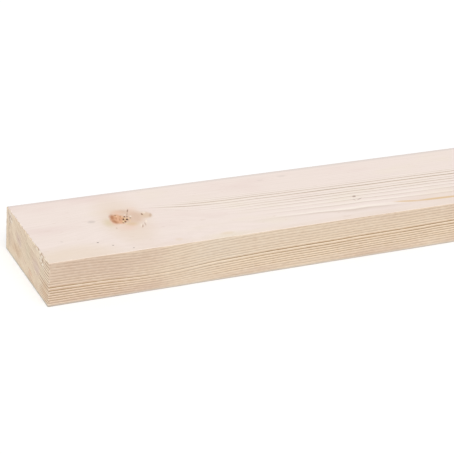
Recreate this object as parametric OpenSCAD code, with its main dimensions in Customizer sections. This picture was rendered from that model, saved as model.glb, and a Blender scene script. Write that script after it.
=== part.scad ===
// Planed softwood plank: one straight length of timber, sawn from the log and planed on its four
// long faces. The planer eases the four long edges, and a saw cuts the two ends square and sharp.
// X runs along the plank, Y across its width and Z up through its thickness. The origin is in the
// middle of the face it lies on.

/* [Stock size] */
// Length from one sawn end to the other, mm
plank_length = 1800; // [900:300:6000]
// Width of the two wide faces, mm
plank_width = 120; // [60:5:245]
// Thickness between the two wide faces, mm
plank_thickness = 45; // [16:1:95]

/* [Planed edges] */
// Radius that eases each of the four long edges, mm
arris_radius = 1.0; // [0.5:0.1:6]

/* [Hidden] */

// Pale spruce, straight from the planer
spruce_colour = [0.93, 0.86, 0.79];

// Facets of a full circle where the eased edges are drawn as a mesh
$fn = 48;

// The planed section, centred, with its width along X and its thickness along Y. Two crossing bars
// reach the four flat faces, and a disc in each corner leaves the eased edge.
module planed_section() {
    square([plank_width - 2 * arris_radius, plank_thickness], center = true);
    square([plank_width, plank_thickness - 2 * arris_radius], center = true);
    for (side = [-1, 1], face = [-1, 1])
        translate([
            side * (plank_width / 2 - arris_radius),
            face * (plank_thickness / 2 - arris_radius)
        ])
            circle(r = arris_radius);
}

// The whole plank, lying on a wide face: its section runs along X between the two saw cuts.
module plank() {
    color(spruce_colour)
        translate([0, 0, plank_thickness / 2])
            rotate([90, 0, 90])
                linear_extrude(height = plank_length, center = true)
                    planed_section();
}

plank();
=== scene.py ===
# %% [markdown]
# # A planed timber plank
# One length of spruce, sawn from a log and planed on four sides. The solid gives its size and its place,
# and this lesson gives it the wood: the rings that the tree grew, the knots where its branches were, the
# fibres that the planer cut through and the rough end that the saw left. The plan is to grow the tree as a
# few formulas, to read those formulas at every point of the plank, and to let the same numbers drive both
# the relief of the mesh and the colours of its materials, so that each line of grain is also a ridge.

# %% Load the solid as a fixed frame
import math

import bpy
import numpy as np
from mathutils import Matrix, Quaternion, Vector


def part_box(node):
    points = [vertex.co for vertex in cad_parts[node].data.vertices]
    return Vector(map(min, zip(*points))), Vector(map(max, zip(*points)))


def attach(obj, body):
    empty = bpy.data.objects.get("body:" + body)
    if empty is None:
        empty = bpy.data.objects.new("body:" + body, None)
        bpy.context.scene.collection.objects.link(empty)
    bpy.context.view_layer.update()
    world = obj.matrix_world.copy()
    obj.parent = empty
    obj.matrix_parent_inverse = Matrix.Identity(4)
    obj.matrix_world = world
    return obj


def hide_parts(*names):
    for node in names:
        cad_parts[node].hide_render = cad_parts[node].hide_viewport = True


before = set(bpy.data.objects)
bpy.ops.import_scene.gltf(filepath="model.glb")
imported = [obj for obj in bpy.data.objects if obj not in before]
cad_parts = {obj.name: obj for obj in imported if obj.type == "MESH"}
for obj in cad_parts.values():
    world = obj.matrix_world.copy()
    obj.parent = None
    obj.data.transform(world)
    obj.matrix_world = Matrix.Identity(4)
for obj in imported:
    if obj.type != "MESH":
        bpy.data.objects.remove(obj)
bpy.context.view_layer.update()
low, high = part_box("plank")
size = high - low
MM = 0.001
LENGTH, WIDTH, THICKNESS = (side / MM for side in size)
print("length, width and thickness, mm:", round(LENGTH), round(WIDTH), round(THICKNESS))

# %% [markdown]
# ## The log
# A growth ring is a thin shell of wood round the pith, the heart of the log, so on a cut across the log the
# rings are circles. On the real plank the lines on the upper face and those on the front edge belong to the
# same rings, and where each ring cuts the two faces gives the middle of the circles: it lies above the
# plank, close over its front edge. So what matters at a point is its distance from the pith, counted from
# one marked ring, the upper of two dark rings that stand out on the front edge. All places in this part are
# in millimetres: along from the near end, across from the middle of the width (the front is negative), and
# depth, which is zero on the upper face and negative below it.

# %% Places on the plank, in millimetres
def places(points):
    along = (points[:, 0] - low.x) / MM
    across = points[:, 1] / MM
    depth = (points[:, 2] - high.z) / MM
    return along, across, depth


def smoothstep(start, stop, value):
    share = np.clip((value - start) / (stop - start), 0.0, 1.0)
    return share * share * (3.0 - 2.0 * share)


def soft_spot(value, centre, before, after):
    # 1 at the centre, fading over one reach before it and over another after it
    reach = np.where(value < centre, before, after)
    return np.exp(-(((value - centre) / reach) ** 2))


# up to the first place the wood follows the photo, and past the second one it grows freely
UNSEEN_START, UNSEEN_FULL = 430.0, 950.0
print("seen in the photo, mm:", UNSEEN_START)

# %% The heart of the log
PITH_ACROSS = -54.4
PITH_ABOVE = 69.8
PITH_CLIMB = 0.0128
# where the wood grows freely the pith wanders: how far, and over what length
WANDER_ACROSS, ACROSS_PACE, ACROSS_START = 9.0, 205.0, 0.9
WANDER_UP, UP_PACE = 5.0, 131.0


def pith(along):
    # its place across and its height over the upper face; it runs a little askew
    wander = smoothstep(UNSEEN_START, UNSEEN_FULL, along)
    across = PITH_ACROSS + WANDER_ACROSS * wander * np.sin(along / ACROSS_PACE + ACROSS_START)
    above = PITH_ABOVE + PITH_CLIMB * along + WANDER_UP * wander * np.sin(along / UP_PACE)
    return across, above


print("pith over the far end, mm:", [round(float(place), 1) for place in pith(LENGTH)])

# %% The branches
# Each knot: place along, place across, radius, turn of its figure. Only the first one shows in the photo.
KNOTS = {
    "main_knot": (98.0, 4.0, 13.5, 0.0),
    "second_whorl_front": (668.0, -31.0, 9.0, 1.1),
    "second_whorl_back": (694.0, 36.0, 5.5, 3.9),
    "third_whorl": (1126.0, 14.0, 11.0, 2.6),
    "third_whorl_pin": (1158.0, -42.0, 2.2, 0.4),
    "fourth_whorl": (1574.0, -12.0, 9.5, 4.7),
    "fourth_whorl_back": (1603.0, 41.0, 4.0, 5.6),
}
MAIN_RADIUS = KNOTS["main_knot"][2]
BRANCH_SLANT = 0.25
KNOT_WIDENING = 0.004


def branch_lean(along, across):
    # how far the branch moves along and across for each millimetre that it rises towards the pith
    pith_across, pith_above = pith(along)
    return -BRANCH_SLANT, float((pith_across - across) / pith_above)


print("lean of the main branch:", [round(v, 2) for v in branch_lean(*KNOTS["main_knot"][:2])])

# %% The rings
MARKED_RADIUS = 95.5
RING_WIDTH = 2.9
BULGE, BULGE_LONG, BULGE_WIDE = 9.1, 58.0, 93.0
SMALLEST_BENDING = 4.0


def wobble(along, across, depth):
    # no ring is a true circle: two small waves run through the wood
    return 0.12 * np.sin(along / 14.0 + across / 17.0 + 0.4) + 0.08 * np.sin(along / 8.0 - depth / 4.0)


def grown(points):
    # distance from the marked ring, with a bulge towards the pith round each branch
    along, across, depth = places(points)
    pith_across, pith_above = pith(along)
    wood = np.hypot(across - pith_across, pith_above - depth) - MARKED_RADIUS
    wood += wobble(along, across, depth)
    for knot_along, knot_across, radius, _ in KNOTS.values():
        if radius < SMALLEST_BENDING:
            continue
        share = radius / MAIN_RADIUS
        lean_along, lean_across = branch_lean(knot_along, knot_across)
        past = (along - knot_along - lean_along * depth) / (BULGE_LONG * share)
        aside = (across - knot_across - lean_across * depth) / (BULGE_WIDE * share)
        wood -= BULGE * share * np.exp(-past * past - aside * aside)
    return wood


def ring_number(wood):
    # good and poor years: the rings on both sides of the marked one are wide, and narrower ones follow
    wide_years = 0.55 * np.sin(0.45 * wood) * np.exp(-((wood / 9.0) ** 2))
    narrow_years = 0.5 * smoothstep(8.0, 16.0, wood)
    return (wood - wide_years) / RING_WIDTH + narrow_years


corners = np.array([[x, y, z] for x in (low.x, high.x) for y in (low.y, high.y) for z in (low.z, high.z)])
print("rings cut by the corners:", np.round(ring_number(grown(corners)), 1).tolist())

# %% [markdown]
# ## How strongly the rings show
# Some years end in a dark line and some in a faint one, and a year that is dark on the upper face is dark
# on the front edge too. So each year has a strength of its own, read from both faces where the photo shows
# it and drawn at random elsewhere. Towards the back of the upper face the lines fade out, and round a knot
# the wood is calm. One number at each point, from 0 to 1, says how plainly a ring is drawn there. A second
# one says how pink the wood is, because spruce is a patchwork of pinkish and yellowish tints.

# %% A strength for each year
SEEN_YEARS = {
    -9: 0.26, -8: 0.31, -7: 0.37, -6: 0.31, -5: 0.36, -4: 0.37, -3: 0.34, -2: 0.52, -1: 0.25,
    0: 0.97, 1: 0.88, 2: 0.75, 3: 0.68, 4: 0.64, 5: 0.76, 6: 0.40,
}
YEAR_SEED = 4
FAINTEST, PLAINEST = 0.25, 0.6
LINE_LEAD = 0.15
years = np.arange(-14, 40)
year_strengths = np.random.default_rng(YEAR_SEED).uniform(FAINTEST, PLAINEST, len(years))
for year, strength in SEEN_YEARS.items():
    year_strengths[years == year] = strength


def plainness(rings):
    # the dark line of a year lies just before its ring number
    return np.interp(rings + LINE_LEAD, years, year_strengths)


print("years drawn:", len(years), "of which seen:", len(SEEN_YEARS))

# %% Strength at each point
OTHER_FIGURE = 0.9


def upper_figure(along, across, rings):
    # the wood is calm before the main knot and round it, and beside the resin
    calm = np.hypot((along - 60.0) / 180.0, (across + 35.0) / 50.0)
    by_knot = 0.04 + 0.96 * smoothstep(0.85, 1.15, calm) * smoothstep(115.0, 162.0, along)
    by_resin = 1.0 - soft_spot(along, 405.0, 42.0, 60.0) * (1.0 - smoothstep(-42.0, -36.0, across))
    # the rearmost line starts faintly, and behind it the lines fade out
    first_line = 1.0 - 0.6 * soft_spot(along, 195.0, 70.0, 95.0) * soft_spot(across, 7.0, 4.5, 3.5)
    fade_start = 11.0 - 5.0 * smoothstep(240.0, 320.0, along)
    unseen = smoothstep(UNSEEN_START, UNSEEN_FULL, along)
    back_fade = 1.0 - smoothstep(fade_start, fade_start + 13.0, across) * (0.94 - 0.4 * unseen)
    # towards the front the face meets the rings at a slant, which widens their lines and weakens them
    front_fade = smoothstep(-54.0, -46.0, across) * (0.5 + 0.7 * smoothstep(-22.0, -4.0, across))
    further_on = 1.0 + 0.55 * smoothstep(235.0, 320.0, along) * (1.0 - smoothstep(-4.0, 1.0, across))
    return by_knot * first_line * by_resin * back_fade * front_fade * further_on * plainness(rings)


def front_figure(along, depth, rings):
    # the lines are fainter beside the knot, in the lowest band and near the upper edge
    height = depth + THICKNESS
    before_knot = 80.0 - 35.0 * smoothstep(0.2, 0.6, rings)
    by_knot = 0.52 * soft_spot(along, 122.0, before_knot, 64.0) * smoothstep(-1.3, -0.5, rings)
    lower_band = 0.5 * smoothstep(40.0, 110.0, along) * (1.0 - smoothstep(5.5, 8.5, height))
    upper_lines = 0.82 + 0.18 * smoothstep(-2.5, -1.5, rings)
    return (1.0 - by_knot) * (1.0 - lower_band) * upper_lines * plainness(rings)


def end_figure(across, rings):
    # the saw's scratches hide the rings on the ends, except close to the front
    return (0.25 + 0.75 * (1.0 - smoothstep(-52.0, -32.0, across))) * plainness(rings)


print("strength of the marked ring on the front:", round(float(plainness(-LINE_LEAD)), 2))

# %% Blush at each point
# Above 0 the wood is pinkish, and below 0 it is yellowish.
def front_blush(along, depth):
    height = depth + THICKNESS
    near_end = 1.0 - smoothstep(25.0, 150.0, along)
    lower_band = 0.15 * smoothstep(90.0, 180.0, along) * (1.0 - smoothstep(4.0, 9.0, height))
    greenish = 0.6 * soft_spot(along, 165.0, 60.0, 60.0) * smoothstep(8.0, 22.0, height)
    below_knot = 0.35 * soft_spot(along, 106.0, 18.0, 18.0)
    further_on = 0.3 * smoothstep(260.0, 330.0, along)
    return near_end + lower_band + below_knot + further_on - greenish


def upper_blush(along, across):
    near_end = 0.28 * (1.0 - smoothstep(20.0, 90.0, along))
    by_knot = 0.5 * soft_spot(along, 112.0, 22.0, 40.0) * soft_spot(across, -10.0, 16.0, 18.0)
    back_corner = 0.5 * (1.0 - smoothstep(70.0, 150.0, along)) * smoothstep(32.0, 48.0, across)
    yellowish = 0.7 * soft_spot(along, 182.0, 30.0, 30.0) * soft_spot(across, -56.0, 10.0, 10.0)
    return near_end + by_knot + back_corner - yellowish


print("blush beside the main knot:", round(float(upper_blush(112.0, -10.0)), 2))

# %% [markdown]
# ## The mesh
# A box with rounded edges would give the outline, but every ridge of grain needs vertices of its own. Wood
# changes fast across the grain and slowly along it, so the grid is fine across and coarse along, and it
# closes up only round the main knot and at the sawn ends. Six grids that share their border points make a
# closed skin. Each square corner of the section is then drawn in to the round that the planer left.

# %% Grid lines that close up where there is detail
STEP_GROWTH = 0.12


def graded_lines(start, stop, widest, details):
    lines = [start]
    while lines[-1] < stop:
        here = lines[-1]
        steps = [fine + STEP_GROWTH * max(0.0, abs(here - centre) - half) for centre, half, fine in details]
        lines.append(here + min([widest] + steps))
    lines = np.array(lines)
    return start + (lines - start) * (stop - start) / (lines[-1] - start)


ARRIS = 1.0
ARRIS_STEP = ARRIS / 3.0
WIDEST_ALONG, WIDEST_ACROSS, WIDEST_DOWN = 18.0, 1.4, 0.9
main_along, main_across, _, _ = KNOTS["main_knot"]
# each detail: its middle, half the stretch where the lines are closest, and the step between them there
near_end, far_end = (0.0, 2.0, 0.7), (LENGTH, 2.0, 0.9)
knot_long, knot_wide = (main_along + 6.0, 19.0, 0.75), (main_across + 2.0, 13.0, 0.75)
front_arris, back_arris = (-WIDTH / 2, ARRIS, ARRIS_STEP), (WIDTH / 2, ARRIS, ARRIS_STEP)
lower_arris, upper_arris = (-THICKNESS, ARRIS, ARRIS_STEP), (0.0, ARRIS, ARRIS_STEP)
along_lines = graded_lines(0.0, LENGTH, WIDEST_ALONG, [near_end, knot_long, far_end])
across_lines = graded_lines(-WIDTH / 2, WIDTH / 2, WIDEST_ACROSS, [front_arris, knot_wide, back_arris])
depth_lines = graded_lines(-THICKNESS, 0.0, WIDEST_DOWN, [lower_arris, upper_arris])
print("lines along, across and down:", len(along_lines), len(across_lines), len(depth_lines))

# %% Six grids that share their borders
FACES = ("underside", "upper", "front", "back", "near_end", "far_end")
PLANED_FACE, PLANED_EDGE, SAWN_END = 0, 1, 2
FACE_MATERIAL = {
    "underside": PLANED_FACE, "upper": PLANED_FACE,
    "front": PLANED_EDGE, "back": PLANED_EDGE,
    "near_end": SAWN_END, "far_end": SAWN_END,
}


def grid_quads(face):
    # lattice numbers (along, across, down) of the four corners of each quad, turned to face outwards
    counts = len(along_lines), len(across_lines), len(depth_lines)
    fixed = {"near_end": 0, "far_end": 0, "front": 1, "back": 1, "underside": 2, "upper": 2}[face]
    last = face in ("far_end", "back", "upper")
    first, second = [axis for axis in range(3) if axis != fixed]
    rows, columns = np.meshgrid(np.arange(counts[first] - 1), np.arange(counts[second] - 1), indexing="ij")
    quads = np.zeros((rows.size, 4, 3), int)
    for corner, (one, two) in enumerate(((0, 0), (1, 0), (1, 1), (0, 1))):
        quads[:, corner, first] = rows.ravel() + one
        quads[:, corner, second] = columns.ravel() + two
        quads[:, corner, fixed] = counts[fixed] - 1 if last else 0
    turned = last if fixed != 1 else not last
    return quads if turned else quads[:, ::-1]


quads_of = {face: grid_quads(face) for face in FACES}
lattice = np.concatenate([quads_of[face] for face in FACES])
face_of = np.concatenate([np.full(len(quads_of[face]), FACES.index(face)) for face in FACES])
# one key for each place in the lattice, so that grids that meet share their border points
keys = (lattice[..., 0] * len(across_lines) + lattice[..., 1]) * len(depth_lines) + lattice[..., 2]
unique_keys, corner_index = np.unique(keys, return_inverse=True)
corner_index = corner_index.reshape(keys.shape)
number_down = unique_keys % len(depth_lines)
number_across = unique_keys // len(depth_lines) % len(across_lines)
number_along = unique_keys // (len(depth_lines) * len(across_lines))
print("vertices:", len(unique_keys), "triangles:", 2 * len(lattice))

# %% Square corners drawn in to the planed round
TINY = 1e-6
square = np.stack(
    [along_lines[number_along], across_lines[number_across], depth_lines[number_down]], axis=1
)
out_across = np.abs(square[:, 1]) - (WIDTH / 2 - ARRIS)
out_down = np.abs(square[:, 2] + THICKNESS / 2) - (THICKNESS / 2 - ARRIS)
in_corner = (out_across > 0) & (out_down > 0)
furthest = np.maximum(out_across, out_down)
# each square ring of points round the middle of a corner becomes a round one
draw_in = np.where(in_corner, furthest / np.maximum(np.hypot(out_across, out_down), TINY), 1.0)
side_across = np.sign(square[:, 1])
side_down = np.sign(square[:, 2] + THICKNESS / 2)
rounded = square.copy()
rounded[:, 1] = np.where(in_corner, side_across * (WIDTH / 2 - ARRIS + out_across * draw_in), square[:, 1])
rounded[:, 2] = np.where(
    in_corner, side_down * (THICKNESS / 2 - ARRIS + out_down * draw_in) - THICKNESS / 2, square[:, 2]
)
points = rounded * MM + np.array([low.x, 0.0, high.z])
print("corner points drawn in:", int(in_corner.sum()))

# %% Which way each point faces
# Only the points on the long faces get a direction, because those inside an end move along the plank.
on_skin = furthest > ARRIS - TINY
outward = np.stack([
    np.zeros(len(square)),
    np.where(on_skin, np.maximum(out_across, 0.0) * side_across, 0.0),
    np.where(on_skin, np.maximum(out_down, 0.0) * side_down, 0.0),
], axis=1)
outward /= np.maximum(np.linalg.norm(outward, axis=1, keepdims=True), TINY)
at_near_end = number_along == 0
at_far_end = number_along == len(along_lines) - 1
print("points on the long faces:", int(on_skin.sum()))

# %% [markdown]
# ## The relief
# The planer leaves a nearly flat face, but the hard wood at the end of each year stands a few hundredths
# of a millimetre above the soft wood beside it. The knot is harder still. It dried and shrank after it was
# cut, so it stands a little proud, and the planer tore small hollows out of its crossed fibres. The saw
# left shallow curved scratches on the ends, pulled fibres out along their rims and broke small chips out of
# their upper edge. All of this is cut into the mesh and never built up, so the plank keeps its size. Only
# the chips are about a millimetre deep, and the rest is about half as deep at most.

# %% Ridges of hard wood
RIDGE = 0.03
YEAR_END_LEAD = 0.1
FACING_UP, FACING_FRONT = 0.5, -0.72
along, across, depth = places(points)
rings = ring_number(grown(points))
out_y, out_z = outward[:, 1], outward[:, 2]
figure = np.where(on_skin, OTHER_FIGURE * plainness(rings), end_figure(across, rings))
figure = np.where(out_z > FACING_UP, upper_figure(along, across, rings), figure)
figure = np.where(out_y < FACING_FRONT, front_figure(along, depth, rings), figure)
blush = np.where(out_z > FACING_UP, upper_blush(along, across), 0.0)
blush = np.where(out_y < FACING_FRONT, front_blush(along, depth), blush)
hardness = 0.5 + 0.5 * np.cos(2.0 * math.pi * (rings + YEAR_END_LEAD))
relief = RIDGE * figure * (hardness - 1.0)
print("deepest ridge, mm:", round(float(-relief.min()), 3))

# %% The figure of a knot
# Soft ovals, in millimetres from the middle of the main knot: along, across, half length, half width, turn,
# strength. The other knots take the same figure, to their own scale and turn.
HOLLOWS = [
    (-1.4, -1.6, 1.6, 2.5, 0.25, 0.95), (1.7, -2.6, 1.9, 1.9, 0.0, 1.0), (-1.6, -6.6, 1.5, 2.0, 0.2, 0.85),
    (-4.2, -8.0, 1.3, 1.4, 0.0, 0.6), (1.5, 3.6, 1.0, 2.5, 0.4, 0.65), (4.0, 3.2, 1.1, 2.2, 0.3, 0.55),
    (6.0, -0.6, 1.5, 1.8, 0.3, 0.45), (9.0, 14.2, 1.2, 5.8, 0.45, 0.48), (5.9, 7.8, 0.9, 4.4, 0.45, 0.38),
    (19.5, 3.6, 1.5, 3.2, 0.1, 0.55), (-6.0, 8.5, 2.0, 1.7, 0.3, 0.45),
]
HOLLOW_FULL = 0.3
HOLLOW_DEPTH = 0.45
KNOT_SWELL = 0.1
KNOT_CORE, KNOT_RIM = 0.8, 1.1


def knot_places(knot):
    # where each point lies from the middle of a branch, to the scale of the main knot
    knot_along, knot_across, radius, turn = knot
    lean_along, lean_across = branch_lean(knot_along, knot_across)
    scale = MAIN_RADIUS / (radius * (1.0 - KNOT_WIDENING * depth))
    one = (along - knot_along - lean_along * depth) * scale
    two = (across - knot_across - lean_across * depth) * scale
    return one * math.cos(turn) - two * math.sin(turn), one * math.sin(turn) + two * math.cos(turn)


def oval_mask(one, two, oval):
    centre_one, centre_two, half_one, half_two, turn, strength = oval
    one, two = one - centre_one, two - centre_two
    turned_one = one * math.cos(turn) - two * math.sin(turn)
    turned_two = one * math.sin(turn) + two * math.cos(turn)
    in_halves = np.hypot(turned_one / half_one, turned_two / half_two)
    return strength * (1.0 - smoothstep(HOLLOW_FULL, 1.0, in_halves))


for knot in KNOTS.values():
    one, two = knot_places(knot)
    reach = np.hypot(one, two) / MAIN_RADIUS
    inside = 1.0 - smoothstep(KNOT_CORE, KNOT_RIM, reach)
    relief = relief * (1.0 - inside) + inside * (-KNOT_SWELL * smoothstep(0.0, 1.0, reach))
    torn_out = np.max([oval_mask(one, two, oval) for oval in HOLLOWS], axis=0)
    relief -= HOLLOW_DEPTH * min(1.0, knot[2] / MAIN_RADIUS) * torn_out
print("deepest hollow, mm:", round(float(-relief.min()), 3))

# %% Saw marks and chips on the ends
SAW_MIDDLE = (-28.0, 330.0, 0.0)
SAW_PITCH = 2.3
SAW_DEPTH, GRIT_DEPTH, SOFT_WOOD_DEPTH = 0.05, 0.05, 0.06
TEAR_DEPTH, TEAR_POWER = 0.45, 4
CHIPS = 26
CHIP_REACH = 58.0
CHIP_HALVES, CHIP_DEPTHS = (0.9, 2.2), (0.3, 1.3)
CHIP_DOWN = 2.2
CHIP_TEAR = 0.3
END_SEED = 11
draws = np.random.default_rng(END_SEED)
grit = draws.random(len(points))
from_saw = np.hypot(across - SAW_MIDDLE[0], depth - SAW_MIDDLE[1])
saw_wave = np.sin(from_saw * 2.0 * math.pi / SAW_PITCH) - 1.0
saw_marks = SAW_DEPTH * saw_wave + GRIT_DEPTH * (grit - 1.0) - SOFT_WOOD_DEPTH * (1.0 - hardness)
torn = TEAR_DEPTH * grit**TEAR_POWER
chip_middles = draws.uniform(-CHIP_REACH, CHIP_REACH, CHIPS)
chip_halves = draws.uniform(*CHIP_HALVES, CHIPS)
chip_depths = draws.uniform(*CHIP_DEPTHS, CHIPS)
for middle, half, deep in zip(chip_middles, chip_halves, chip_depths):
    chip = deep * np.exp(-(((across - middle) / half) ** 2))
    saw_marks -= chip * smoothstep(-CHIP_DOWN, 0.0, depth)
    torn += CHIP_TEAR * chip * (depth > -ARRIS)
at_end = at_near_end | at_far_end
points[:, 0] += np.where(at_near_end, -saw_marks, np.where(at_far_end, saw_marks, 0.0)) * MM
relief -= np.where(at_end & on_skin, torn, 0.0)
points += outward * (np.minimum(relief, 0.0) * MM)[:, None]
print("end points:", int(at_end.sum()), "deepest chip, mm:", round(float(-saw_marks[at_end].min()), 2))

# %% Build the mesh and keep the wood's numbers on it
SHARP_ANGLE = math.radians(50.0)
mesh = bpy.data.meshes.new("spruce_plank")
mesh.vertices.add(len(points))
mesh.vertices.foreach_set("co", points.astype(np.float32).ravel())
mesh.loops.add(corner_index.size)
mesh.loops.foreach_set("vertex_index", corner_index.astype(np.int32).ravel())
mesh.polygons.add(len(corner_index))
mesh.polygons.foreach_set("loop_start", np.arange(0, corner_index.size, 4, dtype=np.int32))
mesh.update(calc_edges=True)
mesh.validate()
for name, values in (("rings", rings), ("figure", figure), ("blush", blush)):
    kept = mesh.attributes.new(name, "FLOAT", "POINT")
    kept.data.foreach_set("value", values.astype(np.float32))
face_material = np.array([FACE_MATERIAL[face] for face in FACES], dtype=np.int32)
mesh.polygons.foreach_set("material_index", face_material[face_of])
mesh.polygons.foreach_set("use_smooth", np.ones(len(corner_index), dtype=bool))
mesh.set_sharp_from_angle(angle=SHARP_ANGLE)
plank = bpy.data.objects.new("spruce_plank", mesh)
bpy.context.scene.collection.objects.link(plank)
print("plank mesh:", len(mesh.vertices), "vertices,", len(mesh.polygons), "quads")

# %% [markdown]
# ## The map
# A colour map for the exported plank is square, and the plank is fifteen times as long as it is wide. Left
# to itself, an unwrap would shrink it to a thread. So each long face is cut in two, a near part that the
# camera sees close up and a far part, and the strips are stacked like boards in a rack. The near strips
# get a finer share of the map, and the two ends lie side by side in the last row.

# %% Strips stacked in the square map
NEAR_PART = 600.0
STRIPS = [
    ("upper", True, 0.205), ("front", True, 0.105), ("underside", True, 0.115), ("back", True, 0.065),
    ("upper", False, 0.165), ("underside", False, 0.095), ("front", False, 0.065), ("back", False, 0.055),
]
END_STRIP = 0.10
GAP = 0.003
flat = square[corner_index]
middle = flat[..., 0].mean(axis=1)
split = along_lines[np.argmin(np.abs(along_lines - NEAR_PART))]
uv = np.zeros((*corner_index.shape, 2))
bottom = GAP
for face, is_near, height in STRIPS:
    mine = (face_of == FACES.index(face)) & ((middle < split) == is_near)
    start, stop = (0.0, split) if is_near else (split, LENGTH)
    if face in ("upper", "underside"):
        over = flat[mine][..., 1] / WIDTH + 0.5
    else:
        over = flat[mine][..., 2] / THICKNESS + 1.0
    uv[mine, :, 0] = GAP + (flat[mine][..., 0] - start) / (stop - start) * (1.0 - 2.0 * GAP)
    uv[mine, :, 1] = bottom + over * height
    bottom += height + GAP
for place, face in enumerate(("near_end", "far_end")):
    mine = face_of == FACES.index(face)
    uv[mine, :, 0] = 0.5 * place + GAP + (flat[mine][..., 1] / WIDTH + 0.5) * (0.5 - 2.0 * GAP)
    uv[mine, :, 1] = bottom + (flat[mine][..., 2] / THICKNESS + 1.0) * END_STRIP
layer = mesh.uv_layers.new(name="OFBake")
layer.data.foreach_set("uv", uv.astype(np.float32).ravel())
print("map filled to", round(bottom + END_STRIP + GAP, 3))

# %% [markdown]
# ## A way to write down nodes
# A material in Blender is a drawing of boxes and wires. Written out one call at a time, a long material is
# hard to read, so a small helper adds a node, joins what is joined to it and hands back its output. A
# recipe then reads as a sum. Effects that several materials share are node groups with named sockets.

# %% A helper for recipes
# A mix node has sockets of the same name for every kind of data, so they are found by number: the first and
# the second input, and the output.
MIX_SOCKETS = {"RGBA": (6, 7, 2), "VECTOR": (4, 5, 1)}


class Recipe:
    def __init__(self, tree):
        self.tree = tree

    def feed(self, socket, source):
        if isinstance(source, bpy.types.NodeSocket):
            self.tree.links.new(source, socket)
        else:
            socket.default_value = source

    def add(self, kind, sources=(), **settings):
        node = self.tree.nodes.new(kind)
        for name, value in settings.items():
            setattr(node, name, value)
        for name, source in dict(sources).items():
            self.feed(node.inputs[name], source)
        return node

    def math(self, operation, *sources):
        return self.add("ShaderNodeMath", enumerate(sources), operation=operation).outputs[0]

    def vector(self, operation, *sources):
        node = self.add("ShaderNodeVectorMath", enumerate(sources), operation=operation)
        return node.outputs["Value" if operation == "LENGTH" else "Vector"]

    def scaled(self, vector, factor):
        node = self.add("ShaderNodeVectorMath", {"Vector": vector, "Scale": factor}, operation="SCALE")
        return node.outputs["Vector"]

    def turned(self, vector, angle):
        sources = {"Vector": vector, "Angle": angle}
        return self.add("ShaderNodeVectorRotate", sources, rotation_type="Z_AXIS").outputs["Vector"]

    def parts(self, vector):
        return self.add("ShaderNodeSeparateXYZ", {"Vector": vector}).outputs

    def joined(self, *parts):
        return self.add("ShaderNodeCombineXYZ", enumerate(parts)).outputs["Vector"]

    def rise(self, value, start, stop):
        sources = {"Value": value, "From Min": start, "From Max": stop}
        return self.add("ShaderNodeMapRange", sources, interpolation_type="SMOOTHSTEP").outputs["Result"]

    def fall(self, value, start, stop):
        return self.math("SUBTRACT", 1.0, self.rise(value, start, stop))

    def between(self, value, lowest, highest):
        # a share from 0 to 1 becomes a value from lowest to highest
        return self.math("MULTIPLY_ADD", value, highest - lowest, lowest)

    def noise(self, point, scale, detail=2.0, roughness=0.5, output="Fac"):
        sources = {"Vector": point, "Scale": scale, "Detail": detail, "Roughness": roughness}
        return self.add("ShaderNodeTexNoise", sources).outputs[output]

    def pushed(self, place, point, scale, reach, detail=2.0):
        # a place moved about by noise, so that what is drawn there gets a ragged edge
        push = self.vector("SUBTRACT", self.noise(point, scale, detail, output="Color"), (0.5, 0.5, 0.5))
        return self.vector("ADD", place, self.vector("MULTIPLY", push, reach))

    def mix(self, share, first, second, kind="RGBA"):
        first_input, second_input, output = MIX_SOCKETS[kind]
        node = self.add("ShaderNodeMix", {"Factor": share}, data_type=kind)
        self.feed(node.inputs[first_input], first)
        self.feed(node.inputs[second_input], second)
        return node.outputs[output]

    def attribute(self, name):
        return self.add("ShaderNodeAttribute", attribute_name=name).outputs["Fac"]

    def group(self, tree, **sources):
        node = self.add("ShaderNodeGroup", node_tree=tree)
        for name, source in sources.items():
            self.feed(node.inputs[name.replace("_", " ")], source)
        return node.outputs


print("steps a recipe can take:", len([name for name in vars(Recipe) if not name.startswith("_")]))

# %% New groups, colours and places
SOCKETS = {"value": "NodeSocketFloat", "vector": "NodeSocketVector", "colour": "NodeSocketColor"}


def new_group(name, inputs, outputs):
    tree = bpy.data.node_groups.new(name, "ShaderNodeTree")
    for in_out, sockets in (("INPUT", inputs), ("OUTPUT", outputs)):
        for label, kind in sockets.items():
            tree.interface.new_socket(label, in_out=in_out, socket_type=SOCKETS[kind])
    taken = tree.nodes.new("NodeGroupInput").outputs
    given = tree.nodes.new("NodeGroupOutput").inputs
    return tree, Recipe(tree), taken, given


def paint(red, green, blue):
    # a colour as a screen shows it, 0 to 255, turned into the light that Blender adds up
    shares = [channel / 255.0 for channel in (red, green, blue)]
    light = [s / 12.92 if s <= 0.04045 else ((s + 0.055) / 1.055) ** 2.4 for s in shares]
    return (*light, 1.0)


def in_millimetres(recipe, point):
    from_near_end = recipe.vector("SUBTRACT", point, (low.x, 0.0, high.z))
    return recipe.scaled(from_near_end, 1.0 / MM)


print("soft spring wood as light:", [round(c, 3) for c in paint(240, 226, 217)])

# %% [markdown]
# ## Growth rings as a node group
# Every vertex carries its ring number. Its whole part says which year it is, and the rest says how far into
# that year the tree was. Spring wood is pale, the wood warms through the summer, and the year ends in a
# thin dark line, which breaks off sharply. The group gives each of these three as a mask.

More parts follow.
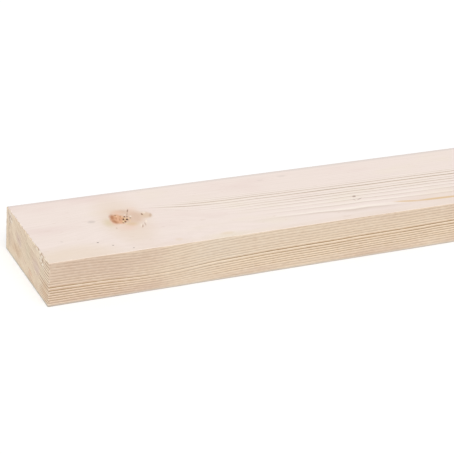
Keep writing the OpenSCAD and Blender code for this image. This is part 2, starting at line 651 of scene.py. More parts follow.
# %% The ring group
# Shares of a year: where the spring fades, the summer warms, and the last wood is darkest and breaks off.
SPRING_FADES = (0.05, 0.45)
SUMMER_WARMS = (0.3, 0.9)
DARKEST = 0.93
YEAR_ENDS = (0.95, 1.0)
RING_GROUP, recipe, taken, given = new_group(
    "growth_rings",
    {"Rings": "value", "Darkens": "value"},
    {"Spring wood": "value", "Summer wood": "value", "Late wood": "value"},
)
in_year = recipe.math("FRACT", taken["Rings"])
year_ends = recipe.rise(in_year, *YEAR_ENDS)
late_rise = recipe.rise(in_year, taken["Darkens"], DARKEST)
summer_rise = recipe.rise(in_year, *SUMMER_WARMS)
recipe.feed(given["Late wood"], recipe.math("SUBTRACT", late_rise, year_ends))
recipe.feed(given["Summer wood"], recipe.math("SUBTRACT", summer_rise, year_ends))
recipe.feed(given["Spring wood"], recipe.fall(in_year, *SPRING_FADES))
print("ring group nodes:", len(RING_GROUP.nodes))

# %% [markdown]
# ## Fibres as a node group
# Spruce is a bundle of long, thin cells. A planed face shows them as fine streaks, a fraction of a
# millimetre wide and several centimetres long, and here and there as a short dark dash, where the planer
# cut along a resin duct. The cells lie along the rings, so the noise that draws them is stretched along the
# plank and counted in rings across it, and the streaks bend round a knot as the rings do.

# %% The fibre group
# How fast the cells change: along the plank (per metre), from ring to ring, and aside (per metre). The
# patches of tint don't follow the rings: along, across and down (per metre).
LONG_CELLS = (15.0, 3.2, 420.0)
SHORT_CELLS = (110.0, 3.0, 650.0)
TINT_PATCHES = (14.0, 38.0, 38.0)
ASIDE_ACROSS, ASIDE_DOWN = 0.6, 0.8
DASH_RISE = (0.7, 0.8)
FIBRE_GROUP, recipe, taken, given = new_group(
    "fibres", {"Point": "vector", "Rings": "value"}, {"Streak": "value", "Dash": "value", "Mottle": "value"}
)
place = recipe.parts(taken["Point"])
aside = recipe.math("MULTIPLY_ADD", place["Y"], ASIDE_ACROSS, recipe.math("MULTIPLY", place["Z"], ASIDE_DOWN))
grain = recipe.joined(place["X"], taken["Rings"], aside)
long_cells = recipe.vector("MULTIPLY", grain, LONG_CELLS)
recipe.feed(given["Streak"], recipe.noise(long_cells, 1.0, detail=3.0, roughness=0.62))
short_cells = recipe.vector("MULTIPLY", grain, SHORT_CELLS)
recipe.feed(given["Dash"], recipe.rise(recipe.noise(short_cells, 1.0, detail=1.0), *DASH_RISE))
patches = recipe.vector("MULTIPLY", taken["Point"], TINT_PATCHES)
recipe.feed(given["Mottle"], recipe.noise(patches, 1.0))
print("fibre group nodes:", len(FIBRE_GROUP.nodes))

# %% [markdown]
# ## Ovals as a node group
# Much of what marks wood is a small soft oval: a hollow in a knot, a stain, a speck of bark, a smudge. One
# small group draws any of them from a middle, half its length and width, a turn and the share of it that is
# full before its edge fades. One function lays several ovals down and keeps the strongest at each point, and
# a second one lays stains of different colours over each other.

# %% The oval group
OVAL_GROUP, recipe, taken, given = new_group(
    "oval_mark",
    {"Point": "vector", "Middle": "vector", "Half size": "vector", "Turn": "value", "Full": "value"},
    {"Mask": "value"},
)
offset = recipe.vector("SUBTRACT", taken["Point"], taken["Middle"])
turned = recipe.turned(offset, taken["Turn"])
in_halves = recipe.vector("LENGTH", recipe.vector("DIVIDE", turned, taken["Half size"]))
recipe.feed(given["Mask"], recipe.fall(in_halves, taken["Full"], 1.0))
# how deep an oval goes into the wood, so that a mark on one face stays off the face opposite
DEPTH_REACH = 3.0
USUAL_FULL = 0.35


def lay_ovals(recipe, point, ovals, full=USUAL_FULL):
    strongest = 0.0
    for one, two, half_one, half_two, turn, strength in ovals:
        mask = recipe.group(
            OVAL_GROUP, Point=point, Middle=(one, two, 0.0),
            Half_size=(half_one, half_two, DEPTH_REACH), Turn=turn, Full=full,
        )["Mask"]
        strongest = recipe.math("MAXIMUM", recipe.math("MULTIPLY", mask, strength), strongest)
    return strongest


def lay_stains(recipe, point, colour, stains):
    # each stain: its colour, the share that is full before its edge fades, and its ovals
    for stain, full, ovals in stains:
        colour = recipe.mix(lay_ovals(recipe, point, ovals, full), colour, paint(*stain))
    return colour


print("oval group nodes:", len(OVAL_GROUP.nodes))

# %% [markdown]
# ## Knots as node groups
# A knot is the round of a branch, so what matters at a point is where it lies from the branch's own middle.
# The branch runs from the pith outwards, so here its middle moves back and down as it goes through the
# plank, and it grows thicker on the way. One group measures that for one branch, to the scale of the main
# knot, and keeps the nearer of this branch and those before it. A second group asks about every branch in
# turn and paints the figure: an orange half-moon with a dark outer edge, grey-brown branch wood beside it,
# tints in the wood around, torn hollows and pale torn fibres.

# %% The place on the nearest branch
BRANCH_GROUP, recipe, taken, given = new_group(
    "branch_place",
    {"Point": "vector", "Middle": "vector", "Lean": "vector", "Scale": "value", "Turn": "value",
     "Place so far": "vector"},
    {"Place": "vector"},
)
point_depth = recipe.parts(taken["Point"])["Z"]
middle_here = recipe.vector("ADD", taken["Middle"], recipe.scaled(taken["Lean"], point_depth))
offset = recipe.vector("SUBTRACT", taken["Point"], middle_here)
level = recipe.vector("MULTIPLY", offset, (1.0, 1.0, 0.0))
widening = recipe.math("MULTIPLY_ADD", point_depth, -KNOT_WIDENING, 1.0)
to_scale = recipe.scaled(level, recipe.math("DIVIDE", taken["Scale"], widening))
turned = recipe.turned(to_scale, taken["Turn"])
is_nearer = recipe.math(
    "LESS_THAN", recipe.vector("LENGTH", turned), recipe.vector("LENGTH", taken["Place so far"])
)
recipe.feed(given["Place"], recipe.mix(is_nearer, taken["Place so far"], turned, "VECTOR"))
print("branch group nodes:", len(BRANCH_GROUP.nodes))

# %% The stains of a knot
# In millimetres from the knot's middle, as the hollows are. They are laid in this order, and a later stain
# covers an earlier one.
KNOT_STAINS = {
    "warm_halo": ((231, 208, 182), 0.3, [(-1.0, -4.0, 34.0, 70.0, 0.0, 0.42)]),
    "branch_wood": (
        (229, 199, 177), 0.4,
        [(9.0, 1.0, 14.5, 18.5, 0.15, 0.9), (0.0, 8.0, 15.0, 14.0, 0.0, 0.8)],
    ),
    "branch_shade": (
        (210, 180, 157), 0.0,
        [(12.0, 1.0, 9.0, 15.0, 0.15, 0.28), (4.0, 14.0, 8.0, 7.0, 0.0, 0.4)],
    ),
    "ochre_tint": (
        (223, 191, 148), 0.0,
        [(2.0, -13.0, 10.0, 7.5, 0.0, 0.8), (-6.0, 19.0, 11.0, 8.0, 0.0, 0.1)],
    ),
    "rose_tint": ((241, 207, 191), 0.0, [(-4.0, -18.0, 15.0, 11.0, 0.0, 0.6)]),
    "green_tint": ((221, 202, 165), 0.0, [(-17.5, -5.0, 9.0, 14.0, 0.0, 0.62)]),
    "peach_rim": (
        (238, 199, 174), 0.1,
        [(-12.0, -4.0, 5.5, 12.0, 0.1, 0.9), (13.0, 17.0, 9.0, 7.0, 0.0, 0.2),
         (-2.5, 13.0, 9.0, 7.0, 0.0, 0.5)],
    ),
    "half_moon": ((230, 178, 141), 0.55, [(-6.2, 0.0, 8.8, 12.8, 0.0, 1.0)]),
    "outer_edge": (
        (184, 122, 82), 0.0,
        [(-10.6, 5.0, 4.2, 9.0, 0.22, 0.95), (-11.2, -3.6, 4.0, 8.0, -0.2, 0.95)],
    ),
    "torn_wood": ((196, 146, 104), 0.0, [(0.0, -2.0, 7.5, 11.0, 0.25, 0.5)]),
    "bud": ((226, 198, 171), 0.3, [(22.5, 1.0, 8.5, 9.0, 0.2, 0.8)]),
    "bud_edge": ((190, 154, 122), 0.0, [(26.6, -0.6, 2.4, 7.0, 0.4, 0.6)]),
}
print("stains of a knot:", len(KNOT_STAINS))

# %% The torn fibres of a knot
# The dark ones lie under the hollows, and the light ones stand up across them.
DARK_FIBRES = {
    "dark": (
        (178, 138, 110), USUAL_FULL,
        [(14.7, -16.5, 0.9, 5.0, 0.2, 0.45), (10.8, -19.7, 1.0, 4.8, 0.44, 0.6),
         (-14.5, -17.0, 1.1, 1.9, 0.3, 0.4)],
    ),
    "brown": (
        (178, 112, 70), USUAL_FULL,
        [(-5.0, -1.0, 0.9, 3.5, 0.3, 0.6), (-7.5, 2.0, 0.9, 4.0, 0.35, 0.55),
         (-2.5, 4.5, 0.8, 3.0, 0.4, 0.6)],
    ),
}
LIGHT_FIBRES = {
    "golden": (
        (244, 212, 168), USUAL_FULL,
        [(0.4, -1.0, 1.0, 3.3, 0.35, 1.0), (-3.0, -5.4, 1.1, 2.6, 0.3, 1.0),
         (-5.5, 5.8, 0.9, 2.4, 0.4, 0.6), (4.0, -0.6, 0.9, 2.4, 0.3, 0.8),
         (-2.0, -10.8, 1.6, 1.3, 0.0, 0.75), (-1.0, 3.2, 0.8, 2.6, 0.35, 0.7),
         (3.6, -5.6, 1.0, 2.6, 0.3, 0.6)],
    ),
    "pale": (
        (250, 234, 217), USUAL_FULL,
        [(3.0, 6.4, 0.9, 2.1, 0.4, 0.7), (7.4, 2.6, 1.4, 2.0, 0.2, 0.9),
         (22.6, 6.2, 2.0, 2.6, 0.2, 0.7), (17.8, -11.3, 1.2, 3.8, 0.35, 1.0),
         (10.2, -18.0, 1.0, 4.4, 0.44, 0.8)],
    ),
}
print("kinds of torn fibre:", len(DARK_FIBRES) + len(LIGHT_FIBRES))

# %% The knot group
FAR_AWAY = (1000.0, 0.0, 0.0)
STAIN_PUSH, STAIN_PUSH_SCALE = (2.6, 2.6, 0.0), 0.28
FIBRE_PUSH, FIBRE_PUSH_SCALE = (1.2, 1.2, 0.0), 0.7
# Each hollow darkens towards its floor: partly the torn knot wood's own colour, partly painted shade in the
# hollow.
HOLLOW_RIM_WOOD_AND_SHADE, HOLLOW_RIM_WOOD_AND_SHADE_RISE = (152, 101, 62), (0.1, 0.8)
HOLLOW_FLOOR_WOOD_AND_SHADE = (72, 46, 28)
KNOT_GROUP, recipe, taken, given = new_group(
    "knots", {"Point": "vector", "Wood": "colour"},
    {"Colour": "colour", "Inside": "value", "Hollow": "value"},
)
in_mm = in_millimetres(recipe, taken["Point"])
place = FAR_AWAY
for knot_along, knot_across, radius, turn in KNOTS.values():
    place = recipe.group(
        BRANCH_GROUP, Point=in_mm, Middle=(knot_along, knot_across, 0.0),
        Lean=(*branch_lean(knot_along, knot_across), 0.0), Scale=MAIN_RADIUS / radius, Turn=turn,
        Place_so_far=place,
    )["Place"]
stain_place = recipe.pushed(place, in_mm, STAIN_PUSH_SCALE, STAIN_PUSH)
fibre_place = recipe.pushed(place, in_mm, FIBRE_PUSH_SCALE, FIBRE_PUSH)
colour = lay_stains(recipe, stain_place, taken["Wood"], KNOT_STAINS.values())
colour = lay_stains(recipe, fibre_place, colour, DARK_FIBRES.values())
hollow = lay_ovals(recipe, fibre_place, HOLLOWS, HOLLOW_FULL)
# painted shade in part: the rim and floor of each hollow are painted darker
colour = recipe.mix(recipe.rise(hollow, *HOLLOW_RIM_WOOD_AND_SHADE_RISE), colour, paint(*HOLLOW_RIM_WOOD_AND_SHADE))
colour = recipe.mix(recipe.math("MULTIPLY", hollow, hollow), colour, paint(*HOLLOW_FLOOR_WOOD_AND_SHADE))
colour = lay_stains(recipe, fibre_place, colour, LIGHT_FIBRES.values())
from_middle = recipe.vector("LENGTH", stain_place)
recipe.feed(given["Colour"], colour)
recipe.feed(given["Hollow"], hollow)
recipe.feed(given["Inside"], recipe.fall(from_middle, KNOT_CORE * MAIN_RADIUS, KNOT_RIM * MAIN_RADIUS))
print("knot group nodes:", len(KNOT_GROUP.nodes))

# %% [markdown]
# ## Small marks on the upper face
# A plank that has been through a yard carries small marks: dark specks of bark and dirt, a grey smudge, a
# pin knot no wider than a match with a torn mark beside it, and a golden streak where resin bled along a
# ring. The wood has yellowed in places along the front, and painted shade greys its rounded back edge. All
# of them are ovals on the upper face, in millimetres along and across, where the photo shows them.

# %% The mark group
MARKS = {
    # painted shade: a grey band along the rounded back edge of the upper face
    "back_arris_shade": ((198, 193, 190), USUAL_FULL, [(LENGTH / 2, WIDTH / 2, LENGTH, 7.0, 0.0, 0.36)]),
    "yellowed": (
        (234, 213, 187), USUAL_FULL,
        [(180.0, -52.5, 10.0, 4.0, 0.0, 0.5), (131.0, -51.0, 6.0, 4.0, 0.0, 0.4),
         (26.0, -58.0, 64.0, 32.0, 0.0, 0.45), (LENGTH / 2, -WIDTH / 2, LENGTH, 12.0, 0.0, 0.2),
         (445.0, -44.0, 80.0, 24.0, 0.0, 0.22)],
    ),
    "resin": (
        (224, 188, 132), USUAL_FULL,
        [(386.0, -41.8, 20.0, 2.3, 0.2, 0.7), (424.0, -45.0, 48.0, 2.6, 0.05, 0.75)],
    ),
    "smudges": (
        (196, 182, 174), USUAL_FULL,
        [(65.5, 6.0, 5.5, 3.8, 0.0, 0.42), (262.0, 44.0, 5.0, 3.0, 0.0, 0.15),
         (288.0, 47.0, 7.0, 3.0, 0.0, 0.2)],
    ),
    "pin_knot": (
        (132, 92, 74), USUAL_FULL,
        [(337.5, -16.6, 2.8, 2.0, 0.0, 0.68), (334.0, -23.5, 0.8, 2.7, -0.64, 0.5),
         (340.0, -23.3, 0.9, 5.4, 1.13, 0.5)],
    ),
    "specks": (
        (88, 66, 54), USUAL_FULL,
        [(56.0, -35.0, 1.5, 1.0, 0.0, 0.75), (67.5, -44.0, 1.3, 1.0, 0.4, 0.6),
         (84.0, -54.0, 1.4, 0.9, 0.0, 0.6), (25.0, -24.0, 2.0, 1.0, 0.6, 0.2)],
    ),
}
MARK_GROUP, recipe, taken, given = new_group(
    "small_marks", {"Point": "vector", "Wood": "colour"}, {"Colour": "colour"}
)
in_mm = in_millimetres(recipe, taken["Point"])
recipe.feed(given["Colour"], lay_stains(recipe, in_mm, taken["Wood"], MARKS.values()))
print("mark group nodes:", len(MARK_GROUP.nodes))

# %% [markdown]
# ## Frayed edges and painted shade at the foot
# A saw tears the last fibres as it leaves the wood, so the rim of a sawn end is a row of pale and dark
# bits, and the planer leaves a faint fuzz of them on the narrow edges. Where the plank meets the floor, its
# lowest edges are painted grey, a painted contact shade. Both groups ask for a share, because each finish
# takes more or less of them and finds its own places for the fraying.

# %% The fraying
FLECKS_A_METRE = 430.0
PALE_RISE, PALE_BIT = (0.5, 0.6), (252, 243, 230)
DARK_FALL, DARK_BIT = (0.36, 0.46), (166, 134, 109)
RIM_FALL, RIM_SHARE = (0.4, 1.9), 0.4
FRAY_GROUP, recipe, taken, given = new_group(
    "frayed", {"Point": "vector", "Wood": "colour", "Share": "value"}, {"Colour": "colour"}
)
flecks = recipe.noise(taken["Point"], FLECKS_A_METRE, roughness=0.6)
pale_bits = recipe.math("MULTIPLY", recipe.rise(flecks, *PALE_RISE), taken["Share"])
dark_bits = recipe.math("MULTIPLY", recipe.fall(flecks, *DARK_FALL), taken["Share"])
colour = recipe.mix(pale_bits, taken["Wood"], paint(*PALE_BIT))
recipe.feed(given["Colour"], recipe.mix(dark_bits, colour, paint(*DARK_BIT)))


def frayed(recipe, point, colour, share):
    return recipe.group(FRAY_GROUP, Point=point, Wood=colour, Share=share)["Colour"]


def frayed_rim(recipe, point, colour):
    # the last two millimetres of a planed face, at both ends
    from_near_end = recipe.parts(in_millimetres(recipe, point))["X"]
    from_far_end = recipe.math("SUBTRACT", LENGTH, from_near_end)
    rim = recipe.fall(recipe.math("MINIMUM", from_near_end, from_far_end), *RIM_FALL)
    return frayed(recipe, point, colour, recipe.math("MULTIPLY", rim, RIM_SHARE))


print("fray group nodes:", len(FRAY_GROUP.nodes))

# %% Painted shade at the foot
# The lowest three millimetres turn greyer towards the floor: painted contact shade where the plank meets it.
FOOT_SHADE_FALL, FOOT_SHADE = (0.2, 3.0), (205, 200, 189)
FOOT_SHADE_GROUP, recipe, taken, given = new_group(
    "dust", {"Point": "vector", "Wood": "colour", "Share": "value"}, {"Colour": "colour"}
)
from_floor = recipe.math("MULTIPLY_ADD", recipe.parts(taken["Point"])["Z"], 1.0 / MM, -low.z / MM)
dust = recipe.math("MULTIPLY", recipe.fall(from_floor, *FOOT_SHADE_FALL), taken["Share"])
recipe.feed(given["Colour"], recipe.mix(dust, taken["Wood"], paint(*FOOT_SHADE)))


def dusty(recipe, point, colour, share):
    return recipe.group(FOOT_SHADE_GROUP, Point=point, Wood=colour, Share=share)["Colour"]


print("dust group nodes:", len(FOOT_SHADE_GROUP.nodes))

# %% [markdown]
# ## The three finishes
# One plank shows three kinds of surface. The wide faces are pale and pinkish with soft lines. The narrow
# edges cut straight through the rings, so they are tan and full of thin lines. The sawn ends show the open
# ends of the cells: they soak up light, look darker and matt, and keep the saw's scratches. All three share
# the groups above with colours of their own.

# %% A finish to start from
WOOD_IOR = 1.45


def start_material(name):
    material = bpy.data.materials.new(name)
    material.use_nodes = True
    material.node_tree.nodes.clear()
    recipe = Recipe(material.node_tree)
    shader = recipe.add("ShaderNodeBsdfPrincipled", {"IOR": WOOD_IOR})
    recipe.add("ShaderNodeOutputMaterial", {"Surface": shader.outputs["BSDF"]})
    point = recipe.add("ShaderNodeTexCoord").outputs["Object"]
    return material, recipe, shader.inputs, point


def raise_grain(recipe, shader, height, strength, distance):
    sources = {"Height": height, "Strength": strength, "Distance": distance * MM}
    recipe.feed(shader["Normal"], recipe.add("ShaderNodeBump", sources).outputs["Normal"])


print("finishes to make:", len(set(FACE_MATERIAL.values())))

# %% The colour of planed wood
FULL_TINT = 1.2
UNEVEN_GAIN, UNEVEN_BASE = 1.8, 0.1
STREAK_GAIN = 0.55
DASH_SHARE = 0.3


def tinted_wood(recipe, fibres, wood, patchiness):
    patchy = recipe.between(fibres["Mottle"], -patchiness, patchiness)
    blush = recipe.math("ADD", patchy, recipe.attribute("blush"))
    yellowness = recipe.math("MULTIPLY", blush, -1.0)
    colour = recipe.mix(recipe.rise(blush, 0.0, FULL_TINT), paint(*wood["soft"]), paint(*wood["pink"]))
    return recipe.mix(recipe.rise(yellowness, 0.0, FULL_TINT), colour, paint(*wood["yellow"]))


def ringed_wood(recipe, rings, fibres, colour, wood, lightest):
    plain = recipe.attribute("figure")
    light = recipe.math("MULTIPLY", rings["Spring wood"], recipe.rise(plain, 0.0, lightest))
    warm = recipe.math("MULTIPLY", rings["Summer wood"], recipe.math("MULTIPLY", plain, plain))
    uneven = recipe.math("MULTIPLY_ADD", fibres["Streak"], UNEVEN_GAIN, UNEVEN_BASE)
    dark = recipe.math("MULTIPLY", rings["Late wood"], recipe.math("MULTIPLY", plain, uneven))
    for share, season in ((light, "spring"), (warm, "summer"), (dark, "late")):
        colour = recipe.mix(share, colour, paint(*wood[season]))
    return colour


def planed_wood(recipe, point, wood, darkens, patchiness, lightest, streak_base):
    number = recipe.attribute("rings")
    rings = recipe.group(RING_GROUP, Rings=number, Darkens=darkens)
    fibres = recipe.group(FIBRE_GROUP, Point=point, Rings=number)
    colour = tinted_wood(recipe, fibres, wood, patchiness)
    colour = ringed_wood(recipe, rings, fibres, colour, wood, lightest)
    streaks = recipe.math("MULTIPLY_ADD", fibres["Streak"], STREAK_GAIN, streak_base)
    colour = recipe.mix(streaks, colour, paint(*wood["streak"]))
    dashes = recipe.math("MULTIPLY", fibres["Dash"], DASH_SHARE)
    return recipe.mix(dashes, colour, paint(*wood["dash"])), fibres


print("share of a dash that shows:", DASH_SHARE)

# %% The wide planed faces
FACE_WOOD = {
    "soft": (246, 231, 223), "pink": (240, 220, 213), "yellow": (243, 231, 211),
    "spring": (255, 244, 233), "summer": (242, 224, 209), "late": (168, 143, 118),
    "streak": (220, 205, 191), "dash": (204, 175, 153),
}
KNOT_POLISH = 0.1


def planed_face():
    material, recipe, shader, point = start_material("planed_face")
    colour, fibres = planed_wood(
        recipe, point, FACE_WOOD, darkens=0.66, patchiness=1.3, lightest=0.32, streak_base=-0.19
    )
    colour = recipe.group(MARK_GROUP, Point=point, Wood=colour)["Colour"]
    colour = frayed_rim(recipe, point, colour)
    knots = recipe.group(KNOT_GROUP, Point=point, Wood=colour)
    recipe.feed(shader["Base Color"], knots["Colour"])
    rough = recipe.between(fibres["Streak"], 0.5, 0.68)
    recipe.feed(shader["Roughness"], recipe.math("MULTIPLY_ADD", knots["Inside"], -KNOT_POLISH, rough))
    half_streak = recipe.math("MULTIPLY", fibres["Streak"], 0.5)
    height = recipe.math("SUBTRACT", half_streak, knots["Hollow"])
    raise_grain(recipe, shader, height, strength=0.35, distance=0.15)
    return material


mesh.materials.append(planed_face())
print("wide faces:", len(mesh.materials[PLANED_FACE].node_tree.nodes), "nodes")

# %% The narrow planed edges
EDGE_WOOD = {
    "soft": (228, 208, 185), "pink": (212, 186, 166), "yellow": (226, 212, 194),
    "spring": (255, 236, 209), "summer": (219, 179, 129), "late": (129, 94, 54),
    "streak": (197, 167, 141), "dash": (168, 130, 102),
}
FUZZ_SHARE = 0.1
FUZZ_STRETCH = (0.45, 1.0, 1.7)
EDGE_FOOT_SHADE = 0.8


def planed_edge():
    material, recipe, shader, point = start_material("planed_edge")
    colour, fibres = planed_wood(
        recipe, point, EDGE_WOOD, darkens=0.55, patchiness=0.9, lightest=0.7, streak_base=-0.17
    )
    colour = frayed(recipe, recipe.vector("MULTIPLY", point, FUZZ_STRETCH), colour, FUZZ_SHARE)
    colour = frayed_rim(recipe, point, colour)
    knots = recipe.group(KNOT_GROUP, Point=point, Wood=colour)
    # painted contact shade along the lowest millimetres of the edge
    recipe.feed(shader["Base Color"], dusty(recipe, point, knots["Colour"], EDGE_FOOT_SHADE))
    recipe.feed(shader["Roughness"], recipe.between(fibres["Streak"], 0.52, 0.72))
    height = recipe.math("SUBTRACT", fibres["Streak"], knots["Hollow"])
    raise_grain(recipe, shader, height, strength=0.4, distance=0.15)
    return material


mesh.materials.append(planed_edge())
print("narrow edges:", len(mesh.materials[PLANED_EDGE].node_tree.nodes), "nodes")

# %% Tints, painted edge shade and torn places on the sawn ends
# Ovals on the near end, in millimetres across and down from the upper edge.
END_FULL = 0.2
END_TINTS_AND_EDGE_SHADE = {
    "grey_back": ((214, 196, 184), END_FULL, [(50.0, -7.0, 12.0, 9.0, 0.0, 0.7)]),
    "tan": (
        (222, 190, 156), END_FULL,
        [(30.0, -31.0, 24.0, 10.0, 0.1, 0.5), (-51.0, -32.0, 13.0, 13.0, 0.0, 0.65)],
    ),
    "lilac": (
        (223, 200, 190), END_FULL,
        [(23.0, -17.0, 11.0, 8.0, -0.5, 0.7), (-26.0, -21.0, 12.0, 12.0, 0.0, 0.7)],
    ),
    "cream": (
        (227, 212, 185), END_FULL,
        [(-3.0, -17.0, 11.0, 14.0, 0.0, 0.7), (-43.0, -17.0, 9.0, 10.0, 0.0, 0.5)],
    ),
    "pink_streak": (
        (240, 217, 196), END_FULL,
        [(11.0, -32.5, 9.0, 2.2, 0.0, 0.8), (37.0, -14.0, 5.0, 3.0, 0.3, 0.5)],
    ),
    "orange_spot": (
        (224, 180, 146), END_FULL,
        [(-11.0, -35.5, 8.5, 3.6, -0.3, 0.7), (-20.0, -43.0, 60.0, 3.5, 0.0, 0.2)],
    ),
    # painted shade: a darker band down the back edge of the end
    "end_back_edge_shade": (
        (186, 164, 142), END_FULL,
        [(60.0, -22.0, 3.0, 34.0, 0.0, 0.4), (51.5, -20.0, 2.6, 28.0, 0.0, 0.5)],
    ),
}
TORN_PLACES = [
    (50.0, -7.0, 9.0, 9.0, 0.0, 0.9), (-42.0, -8.0, 11.0, 8.0, 0.0, 0.9),
    (-36.0, -1.0, 26.0, 4.5, 0.0, 0.85),
]
print("tints on the end:", len(END_TINTS_AND_EDGE_SHADE), "torn places:", len(TORN_PLACES))

# %% Rings, saw strokes and open cells
END_WOOD = {
    "pale": (245, 226, 200), "line": (158, 116, 84), "blotch": (216, 189, 165),
    "light_stroke": (250, 234, 211), "dark_stroke": (197, 162, 132),
    "light_cell": (248, 236, 219), "dark_cell": (178, 141, 110),
}
LINE_DARKENS, LINE_GAIN = 0.5, 2.8
BLOTCHES_A_METRE, BLOTCH_RISE, BLOTCH_SHARE = 52.0, (0.42, 0.72), 0.5
BAND_PACE = 0.8
STROKE_SHARE, BAND_SHARE = 0.55, 0.45
LIGHT_STROKE_RISE, DARK_STROKE_FALL = (0.5, 0.72), (0.26, 0.5)
LIGHT_CELL_RISE, DARK_CELL_FALL, DARK_CELL_SHARE = (0.5, 0.8), (0.2, 0.45), 0.95
# how fast the saw's scratches change along a stroke, from one stroke to the next, and inwards
SAW_STROKE = (0.016, 0.45, 0.1)


def end_grain(recipe, point, number):
    rings = recipe.group(RING_GROUP, Rings=number, Darkens=LINE_DARKENS)
    line = recipe.math("MULTIPLY", rings["Late wood"], recipe.attribute("figure"))
    line_share = recipe.math("MULTIPLY", line, LINE_GAIN)
    colour = recipe.mix(line_share, paint(*END_WOOD["pale"]), paint(*END_WOOD["line"]))
    blotches = recipe.noise(point, BLOTCHES_A_METRE, detail=3.0, roughness=0.6)
    blotch_share = recipe.math("MULTIPLY", recipe.rise(blotches, *BLOTCH_RISE), BLOTCH_SHARE)
    return recipe.mix(blotch_share, colour, paint(*END_WOOD["blotch"]))


def saw_strokes(recipe, place, number, colour):
    level = recipe.joined(place["Y"], place["Z"])
    from_saw = recipe.vector("LENGTH", recipe.vector("SUBTRACT", level, SAW_MIDDLE))
    stroke = recipe.vector("MULTIPLY", recipe.joined(place["Y"], from_saw, place["X"]), SAW_STROKE)
    scratch = recipe.noise(stroke, 1.0, roughness=0.6)
    band_place = recipe.joined(recipe.math("MULTIPLY", number, BAND_PACE), 0.0, 0.0)
    bands = recipe.noise(band_place, 1.0, detail=1.0)
    rough = recipe.math("MULTIPLY_ADD", scratch, STROKE_SHARE, recipe.math("MULTIPLY", bands, BAND_SHARE))
    colour = recipe.mix(recipe.rise(rough, *LIGHT_STROKE_RISE), colour, paint(*END_WOOD["light_stroke"]))
    return recipe.mix(recipe.fall(rough, *DARK_STROKE_FALL), colour, paint(*END_WOOD["dark_stroke"]))


def open_cells(recipe, cells, colour):
    light = recipe.rise(cells, *LIGHT_CELL_RISE)
    dark = recipe.math("MULTIPLY", recipe.fall(cells, *DARK_CELL_FALL), DARK_CELL_SHARE)
    colour = recipe.mix(light, colour, paint(*END_WOOD["light_cell"]))
    return recipe.mix(dark, colour, paint(*END_WOOD["dark_cell"]))


print("colours of end grain:", len(END_WOOD))

# %% The sawn ends
CELLS_A_METRE = 1300.0
END_PUSH, END_PUSH_SCALE = (14.0, 9.0, 0.0), 0.12
TORN_STRETCH = (1.0, 0.4, 0.8)
END_FOOT_SHADE = 0.95


def sawn_end():
    material, recipe, shader, point = start_material("sawn_end")
    number = recipe.attribute("rings")
    place = recipe.parts(in_millimetres(recipe, point))
    on_end = recipe.joined(place["Y"], place["Z"], place["X"])
    ragged_end = recipe.pushed(on_end, on_end, END_PUSH_SCALE, END_PUSH, detail=3.0)
    cells = recipe.noise(point, CELLS_A_METRE, detail=3.0, roughness=0.7)
    colour = end_grain(recipe, point, number)
    colour = lay_stains(recipe, ragged_end, colour, END_TINTS_AND_EDGE_SHADE.values())
    colour = saw_strokes(recipe, place, number, colour)
    colour = open_cells(recipe, cells, colour)
    torn = lay_ovals(recipe, ragged_end, TORN_PLACES, END_FULL)
    colour = frayed(recipe, recipe.vector("MULTIPLY", point, TORN_STRETCH), colour, torn)
    # painted contact shade along the lowest millimetres of the end
    recipe.feed(shader["Base Color"], dusty(recipe, point, colour, END_FOOT_SHADE))
    recipe.feed(shader["Roughness"], recipe.between(cells, 0.72, 0.92))
    raise_grain(recipe, shader, cells, strength=0.5, distance=0.25)
    return material


mesh.materials.append(sawn_end())
print("sawn ends:", len(mesh.materials[SAWN_END].node_tree.nodes), "nodes")

# %% The plank takes the place of its solid
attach(plank, "root")
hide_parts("plank")
print("the plank rides on the root body")

# %% [markdown]
# ## Floor, light and camera
# The photo is a plain cut-out on white. A white floor under an even white sky gives that, with one broad,
# soft lamp from above and in front, so that the upper face is the brightest and a faint shadow still holds
# the plank to the floor. To the camera the floor gets a little light of its own, so that it ends up white.

# %% Floor
FLOOR_HALF = 40.0
FLOOR_DROP = 0.2 * MM
FLOOR_GREY = 0.82
FLOOR_GLOW = 0.24
floor_mesh = bpy.data.meshes.new("floor")
signs = ((-1, -1), (1, -1), (1, 1), (-1, 1))
floor_corners = [(x * FLOOR_HALF, y * FLOOR_HALF, low.z - FLOOR_DROP) for x, y in signs]
floor_mesh.from_pydata(floor_corners, [], [(0, 1, 2, 3)])
floor = bpy.data.objects.new("floor", floor_mesh)
bpy.context.scene.collection.objects.link(floor)
floor_material = bpy.data.materials.new("white_floor")
floor_material.use_nodes = True
floor_material.node_tree.nodes.clear()
recipe = Recipe(floor_material.node_tree)
matt = recipe.add("ShaderNodeBsdfDiffuse", {"Color": (FLOOR_GREY, FLOOR_GREY, FLOOR_GREY, 1.0)})
path = recipe.add("ShaderNodeLightPath").outputs
mirrored = recipe.math("MAXIMUM", path["Is Glossy Ray"], path["Is Transmission Ray"])
seen = recipe.math("MAXIMUM", path["Is Camera Ray"], mirrored)
glow = recipe.add("ShaderNodeEmission", {"Strength": recipe.math("MULTIPLY", seen, FLOOR_GLOW)})
both = recipe.add("ShaderNodeAddShader", {0: matt.outputs["BSDF"], 1: glow.outputs["Emission"]})
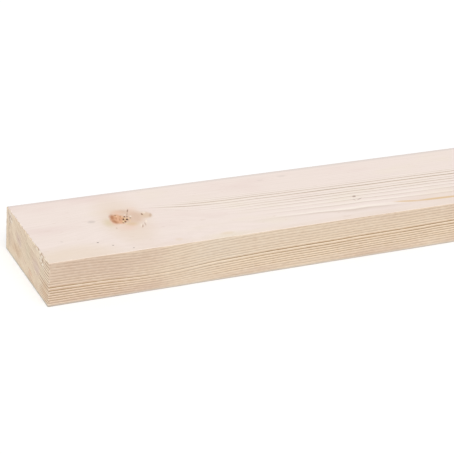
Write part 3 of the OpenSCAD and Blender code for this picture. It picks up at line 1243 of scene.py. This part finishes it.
recipe.add("ShaderNodeOutputMaterial", {"Surface": both.outputs["Shader"]})
floor_mesh.materials.append(floor_material)
print("floor side, m:", 2 * FLOOR_HALF)

# %% Sky and lamp
SKY = 0.62
LAMP = 1.52
LAMP_SPREAD = math.radians(70.0)
LAMP_HEADING = Vector((0.35, 0.75, -1.0))
scene = bpy.context.scene
scene.world = bpy.data.worlds.new("white_sky")
scene.world.use_nodes = True
sky = scene.world.node_tree.nodes["Background"]
sky.inputs["Color"].default_value = (1.0, 1.0, 1.0, 1.0)
sky.inputs["Strength"].default_value = SKY
lamp = bpy.data.lights.new("soft_lamp", "SUN")
lamp.energy = LAMP
lamp.angle = LAMP_SPREAD
lamp_object = bpy.data.objects.new("soft_lamp", lamp)
lamp_object.rotation_mode = "QUATERNION"
lamp_object.rotation_quaternion = LAMP_HEADING.to_track_quat("-Z", "Y")
scene.collection.objects.link(lamp_object)
scene.view_settings.view_transform = "Standard"
print("sky", SKY, "lamp", LAMP)

# %% Camera
# The photo was taken from in front of the near end, looking down, with a long lens held slightly askew.
IMAGE_SIDE = 454.0
FOCAL_PIXELS = 1569.1
CAMERA_YAW = math.radians(27.561)
CAMERA_PITCH = math.radians(26.687)
CAMERA_ROLL = math.radians(4.885)
FROM_NEAR_CORNER = Vector((-430.7, -1160.3, 713.7)) * MM
camera_data = bpy.data.cameras.new("camera")
camera_data.lens = FOCAL_PIXELS / IMAGE_SIDE * camera_data.sensor_width
camera = bpy.data.objects.new("camera", camera_data)
looking = Vector((
    math.sin(CAMERA_YAW) * math.cos(CAMERA_PITCH),
    math.cos(CAMERA_YAW) * math.cos(CAMERA_PITCH),
    -math.sin(CAMERA_PITCH),
))
camera.rotation_mode = "QUATERNION"
camera.rotation_quaternion = looking.to_track_quat("-Z", "Y") @ Quaternion((0.0, 0.0, 1.0), CAMERA_ROLL)
camera.location = low + FROM_NEAR_CORNER
scene.collection.objects.link(camera)
scene.camera = camera
print("lens, mm:", round(camera_data.lens, 1))
